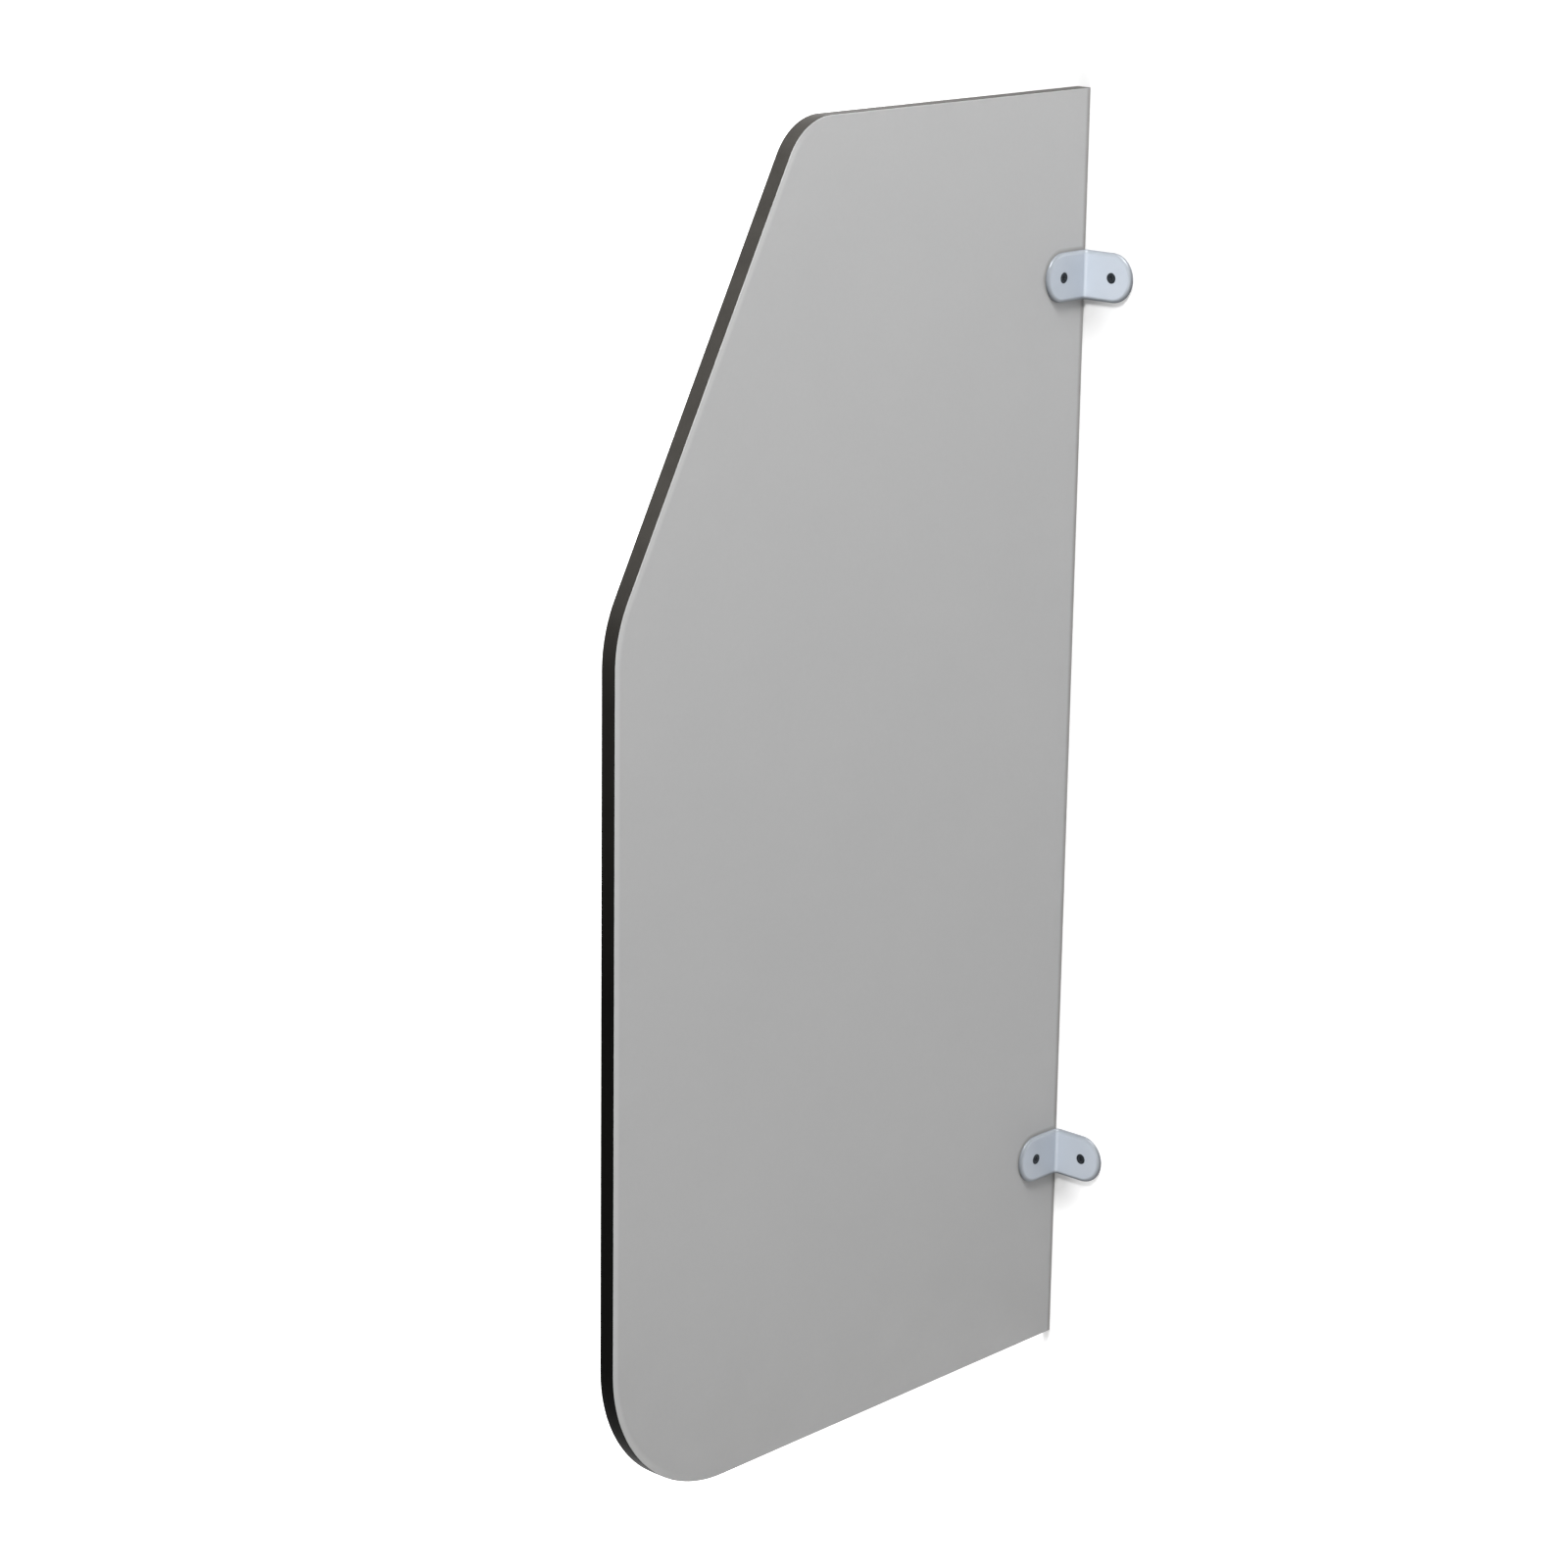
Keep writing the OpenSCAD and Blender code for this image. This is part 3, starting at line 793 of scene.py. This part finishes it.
def screw(name, node, place, radius, root, length, pitch, point, tip, recess_end):
    """A countersunk screw with its head's top at depth 0, going down to length."""
    head = HEAD / 2 - HEAD_CLEARANCE
    cone_end = HEAD_RIM + HEAD / 2 - radius
    outside = [(head - narrower, deeper) for narrower, deeper in HEAD_EASE]
    outside += [(head, HEAD_RIM), (radius, cone_end)]
    rows = [ring(depth, lambda a: cross_reach(a, span, slot)) for span, slot, depth in RECESS]
    rows += [ring(depth, lambda a: reach) for reach, depth in outside]
    thread_from, thread_to = cone_end + THREAD_GAP, length - THREAD_GAP
    count = math.ceil((thread_to - thread_from) / pitch * THREAD_ROWS)
    for k in range(count + 1):
        depth = thread_from + (thread_to - thread_from) * k / count
        fade = min(1.0, (depth - thread_from) / pitch, (length - depth) / max(point, pitch))
        crest = tip + (radius - tip) * min(1.0, (length - depth) / point)
        valley = max(tip, crest - (radius - root) * fade)
        rows.append(ring(depth, lambda a: thread_reach(a, depth, pitch, valley, crest)))
    rows.append(ring(length, lambda a: tip * BLUNT_TIP))
    skin = Skin(place)
    made = skin.skin_rows(rows)
    skin.cap(made[0], (0.0, 0.0, recess_end))
    skin.cap(made[-1], (0.0, 0.0, length))
    make_piece(name, skin, screw_steel, "screw_steel", node, sharp=45)


def into_board(z):
    return lambda p: (BOARD_HALF + LEAF - p.z, -HOLE_OUT + p.x, z + p.y)


def into_wall(z):
    return lambda p: (BOARD_HALF + HOLE_OUT + p.x, -LEAF + p.z, z + p.y)


for end, z in HEIGHTS.items():
    screw(f"{end}_screw_in_board", f"{end}_board_screw", into_board(z), **BOARD_SCREW)
    screw(f"{end}_screw_in_wall", f"{end}_wall_screw", into_wall(z), **WALL_SCREW)

# %% [markdown]
# ## The hidden fixings
#
# The inserts and the plugs keep their solids, whose shapes are right as they are. They only need
# their finish.

# %% Finish the kept nodes
for end in HEIGHTS:
    for part, material in (("board_insert", insert_brass), ("wall_plug", plug_nylon)):
        node = nodes[f"{end}_{part}"]
        node.data.materials.clear()
        node.data.materials.append(material)
        print(node.name, "in", material.name)

# %% [markdown]
# ## The wall, the floor and the light
#
# The screen hangs in a pale studio. The wall behind it takes the small soft shadows of the
# brackets, and is clear from behind, so the plugs can be looked at too. Both surfaces add a
# little of their own light, which only the camera and reflections see. It carries them up to
# white without any more light on the object.

# %% Studio surfaces
def seen(tree):
    """1 for the rays of the camera and of reflections, and 0 for those that light the object."""
    rays = add(tree, "ShaderNodeLightPath").outputs
    return largest(tree, rays["Is Camera Ray"], rays["Is Glossy Ray"], rays["Is Transmission Ray"])


def studio_material(name, albedo, lift, one_sided):
    """lift is a number, or a function that makes it from the material's tree."""
    material = bpy.data.materials.new(name)
    material.use_nodes = True
    tree = material.node_tree
    tree.nodes.clear()
    own = product(tree, seen(tree), lift(tree) if callable(lift) else lift)
    paint = add(tree, "ShaderNodeBsdfDiffuse", {"Color": (*albedo, 1.0)}).outputs[0]
    glow = add(tree, "ShaderNodeEmission", {"Strength": own}).outputs[0]
    surface = add(tree, "ShaderNodeAddShader", {0: paint, 1: glow}).outputs[0]
    if one_sided:
        behind = add(tree, "ShaderNodeNewGeometry").outputs["Backfacing"]
        is_clear = largest(tree, behind, add(tree, "ShaderNodeLightPath").outputs["Is Shadow Ray"])
        clear = add(tree, "ShaderNodeBsdfTransparent").outputs[0]
        surface = add(tree, "ShaderNodeMixShader", {0: is_clear, 1: surface, 2: clear}).outputs[0]
    add(tree, "ShaderNodeOutputMaterial", {"Surface": surface})
    return material


def studio_plane(name, corner, along, up, material):
    """A rectangle given by one corner and its two sides, as seen from its front."""
    corner, along, up = Vector(corner), Vector(along), Vector(up)
    mesh = bpy.data.meshes.new(name)
    mesh.from_pydata([corner, corner + along, corner + along + up, corner + up], [], [(0, 1, 2, 3)])
    mesh.materials.append(material)
    plane = bpy.data.objects.new(name, mesh)
    bpy.context.scene.collection.objects.link(plane)
    print(name, "faces", tuple(mesh.polygons[0].normal))


# %% [markdown]
# The floor needs the same lift all over, but the wall doesn't. Beside the board it needs less near
# the top, where the ceiling panel is close. Under each bracket it gets very little, so that the
# soft shadow shows; the lamps alone leave the wall a little below white there, so the round patch
# under each bracket is painted shade as well as real shadow. On the far side, where the board
# keeps the light off, it needs the most, and below the board and far out on the near side a
# little more than beside it.

# %% How much light of its own the wall adds
BESIDE_LIFT = (0.27, 0.47)
SHADOW_LIFT, SHADOW_FADE = 0.2, (10.0 * MM, 30.0 * MM)
SHADOW_X, SHADOW_DROP = 5.0, 4.0
BEHIND_BOARD, BEHIND_SHIFT = (0.0, -6.0 * MM), 30.0 * MM
BELOW_LIFT, BELOW_END = 0.6, (BOARD_BOTTOM - 20.0) * MM
BELOW_START = ((BOARD_BOTTOM - 5.0) * MM, (BOARD_BOTTOM + 200.0) * MM)
FAR_LIFT, FAR_FADE = 0.9, (-50.0 * MM, -250.0 * MM)
NEAR_LIFT, NEAR_FADE = 0.3, (100.0 * MM, 400.0 * MM)


def wall_lift(tree):
    place = add(tree, "ShaderNodeNewGeometry").outputs["Position"]
    x, _, z = add(tree, "ShaderNodeSeparateXYZ", {"Vector": place}).outputs
    beside = remap(tree, z, HEIGHTS["upper"] * MM, HEIGHTS["lower"] * MM, *BESIDE_LIFT)
    # Under each bracket a round patch of little lift: real shadow, and painted shade where the lamps
    # leave the wall below white.
    for height in HEIGHTS.values():
        middle = Vector((SHADOW_X, 0.0, height - LEAF_HALF - SHADOW_DROP)) * MM
        away = add(tree, "ShaderNodeVectorMath", {0: place, 1: middle}, operation="DISTANCE")
        away = total(tree, away.outputs["Value"], remap(tree, x, *BEHIND_BOARD, 0.0, BEHIND_SHIFT))
        beside = product(tree, beside, remap(tree, away, *SHADOW_FADE, SHADOW_LIFT, 1.0))
    below_start = remap(tree, x, *BEHIND_BOARD, *BELOW_START)
    below = remap(tree, z, below_start, BELOW_END, 0.0, BELOW_LIFT)
    far_side = remap(tree, x, *FAR_FADE, 0.0, FAR_LIFT)
    near_side = remap(tree, x, *NEAR_FADE, 0.0, NEAR_LIFT)
    return total(tree, beside, largest(tree, below, far_side, near_side))


print("lift beside the board", BESIDE_LIFT, "and on the far side", FAR_LIFT)

# %% Wall and floor
FLOOR_Z, FLOOR_HALF = BOARD_BOTTOM * MM - 0.9, 6.0
WALL_Y, WALL_TOP, WALL_HALF = 0.0003, 3.0, 4.0
wall_paint = studio_material("studio wall paint", (0.62, 0.62, 0.62), wall_lift, True)
floor_paint = studio_material("studio floor paint", (0.36, 0.355, 0.35), 0.50, False)
studio_plane("studio wall", corner=(-WALL_HALF, WALL_Y, FLOOR_Z), along=(2 * WALL_HALF, 0, 0),
             up=(0, 0, WALL_TOP - FLOOR_Z), material=wall_paint)
studio_plane("studio floor", corner=(-FLOOR_HALF, -FLOOR_HALF, FLOOR_Z), along=(2 * FLOOR_HALF, 0, 0),
             up=(0, 2 * FLOOR_HALF, 0), material=floor_paint)

# %% [markdown]
# The air round the studio is white where the camera or a reflection sees it, but it lights the
# object only weakly, so that the lamps still shape it.

# %% World
AMBIENT = 0.15
world = bpy.data.worlds.new("studio air")
bpy.context.scene.world = world
world.use_nodes = True
tree = world.node_tree
tree.nodes.clear()
strength = vary(tree, seen(tree), AMBIENT, 1.0)
sky = add(tree, "ShaderNodeBackground", {"Color": (1.0, 1.0, 1.0, 1.0), "Strength": strength}).outputs[0]
add(tree, "ShaderNodeOutputWorld", {"Surface": sky})
print("ambient", AMBIENT)

# %% [markdown]
# One panel high up lights the face that carries the brackets. It is steep enough to make the
# face brighter at the top than at the foot and to throw the brackets' shadows down the wall, and
# it stands far enough out that the wall leaves are brighter than the leaves on the board. A weak
# one low in front does the same for the lower bracket. A panel on the far side keeps the other
# face and the sloping edge from going dark: it lies so flat to the wall that little of it comes
# back on to the near face. The last one shines through the wall, for the view from behind.

# %% Lamps
def area_lamp(name, place, aim, size, power):
    data = bpy.data.lights.new(name, "AREA")
    data.shape, data.size, data.energy = "SQUARE", size, power
    lamp = bpy.data.objects.new(name, data)
    bpy.context.scene.collection.objects.link(lamp)
    lamp.location = place
    lamp.rotation_euler = (Vector(aim) - lamp.location).to_track_quat("-Z", "Y").to_euler()
    lamp.visible_camera = False
    print(name, power, "W")


area_lamp("ceiling panel", place=(0.77, -1.58, 3.33), aim=(0.0, -0.2, 0.0), size=0.8, power=217.0)
area_lamp("low front panel", place=(0.10, -2.0, -0.3), aim=(0.0, -0.2, 0.0), size=0.8, power=8.0)
area_lamp("side panel", place=(-2.4, -0.5, 1.6), aim=(0.0, -0.25, 0.0), size=1.2, power=40.0)
area_lamp("rear panel", place=(-0.3, 2.6, 1.2), aim=(0.0, 0.0, 0.0), size=1.2, power=45.0)

# %% [markdown]
# ## The camera
#
# Its place and lens were worked out from the outline: the straight edges, the round corners and
# the line along the wall all have to fall where the photograph has them. The picture is
# 1600 pixels wide, and the lens is given by its length in those pixels.

# %% Camera
PIXELS, FOCAL_PIXELS, SENSOR = 1600, 4228.90, 36.0
CAMERA_PLACE = (1765.76, -2204.85, 728.63)
AZIMUTH, PITCH, ROLL = (math.radians(a) for a in (42.654, 15.395, 0.814))
across = Vector((math.cos(AZIMUTH), math.sin(AZIMUTH), 0.0))
level = Vector((-math.sin(AZIMUTH), math.cos(AZIMUTH), 0.0))
forward = level * math.cos(PITCH) - Vector((0.0, 0.0, math.sin(PITCH)))
upward = across.cross(forward)
rolled_across = math.cos(ROLL) * across + math.sin(ROLL) * upward
rolled_upward = math.cos(ROLL) * upward - math.sin(ROLL) * across
lens = bpy.data.cameras.new("camera")
lens.sensor_width = SENSOR
lens.lens = FOCAL_PIXELS / PIXELS * SENSOR
camera = bpy.data.objects.new("camera", lens)
bpy.context.scene.collection.objects.link(camera)
axes = Matrix((rolled_across, rolled_upward, -forward)).transposed().to_4x4()
camera.matrix_world = Matrix.Translation(Vector(CAMERA_PLACE) * MM) @ axes
bpy.context.scene.camera = camera
bpy.context.scene.view_settings.view_transform = "Standard"
print("lens", round(lens.lens, 2), "mm")

# %% Update the scene
bpy.context.view_layer.update()
